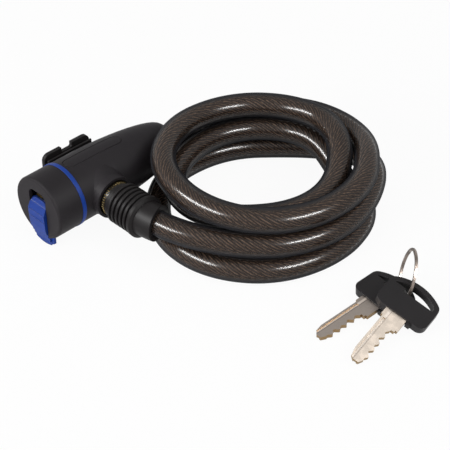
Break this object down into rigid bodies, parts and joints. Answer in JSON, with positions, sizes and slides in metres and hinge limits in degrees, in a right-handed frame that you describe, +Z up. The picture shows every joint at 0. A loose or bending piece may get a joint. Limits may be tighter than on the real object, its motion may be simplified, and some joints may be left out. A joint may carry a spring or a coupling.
{
  "type": "coiled cable lock",
  "caption": "Coiled steel cable lock with a smoky sleeve, keyed barrel with sliding dust cover, ribbed cable boot, mounting rail and keys on a split ring.",
  "frame": {"origin": "on the surface the lock lies on, at the centre of the cable's coil", "axes": "+Z up; +X along the barrel from its keyhole to the cable's fixed end; +Y from the coil towards the barrel and its rail"},
  "size_m": [0.152, 0.1851, 0.0391],
  "materials": {
    "charcoal_plastic": "fine matte charcoal",
    "blue_plastic": "satin royal blue",
    "black_plastic": "satin black",
    "black_rubber": "satin soft black",
    "smoky_vinyl": "glossy smoky translucent vinyl",
    "rope_steel": "twisted wire rope",
    "bright_steel": "plated, bright",
    "cast_zinc": "dull cast zinc",
    "nickel": "nickel-plated brass, satin",
    "brass": "turned"
  },
  "bodies": {
    "lock": {"barrel_housing": "charcoal_plastic", "front_cap": "charcoal_plastic", "accent_ring": "blue_plastic", "bracket_rail": "black_plastic", "rail_screws": "bright_steel", "lock_cylinder": "cast_zinc", "latch_spring": "bright_steel", "socket_liner": "bright_steel", "cable_sleeve": "smoky_vinyl", "steel_rope": "rope_steel", "anchor_ferrule": "bright_steel", "anchor_pin": "bright_steel"},
    "cover": {"dust_cover": "blue_plastic"},
    "key_plug_turning": {"key_plug": "brass", "wafers": "brass", "plug_retainer": "bright_steel", "cam": "cast_zinc"},
    "bolt": {"latch_bolt": "bright_steel"},
    "cable_end": {"cable_plug": "bright_steel", "plug_collar": "bright_steel", "plug_ferrule": "bright_steel", "boot": "black_rubber"},
    "first_key": {"key_1_blade": "nickel", "key_1_head": "black_plastic"},
    "second_key": {"key_2_blade": "nickel", "key_2_head": "black_plastic"},
    "ring": {"split_ring": "bright_steel"}
  },
  "joints": [
    {"name": "cover_slide", "type": "slide", "parent": "lock", "child": "cover", "axis": [0, 0, 1], "range_m": [-0.012, 0.0045]},
    {"name": "key_turn", "type": "hinge", "parent": "lock", "child": "key_plug_turning", "pos_m": [-0.0595, 0.056, 0.0205], "axis": [-1, 0, 0], "range_deg": [0, 90]},
    {"name": "bolt_drop", "type": "slide", "parent": "lock", "child": "bolt", "axis": [0, 0, -1], "range_m": [0, 0.00255], "deforming": ["latch_spring"]},
    {"name": "plug_pull", "type": "slide", "parent": "lock", "child": "cable_end", "axis": [0, -1, 0], "range_m": [0, 0.03], "deforming": ["cable_sleeve", "steel_rope"]},
    {"name": "keys_lift", "type": "slide", "parent": "lock", "child": "first_key", "axis": [0, 0, 1], "range_m": [0, 0.1]},
    {"name": "second_key_swing", "type": "hinge", "parent": "first_key", "child": "second_key", "pos_m": [-0.0065, -0.0938, 0.012], "axis": [0, 0, 1], "range_deg": [-6, 45]},
    {"name": "ring_spin", "type": "hinge", "parent": "first_key", "child": "ring", "pos_m": [0.0012, -0.0862, 0.0122], "axis": [0.6846, -0.6846, -0.2504], "continuous": true}
  ],
  "couplings": [
    {"joint": "bolt_drop", "follows": "key_turn", "m_per_rad": 0.0016208}
  ]
}
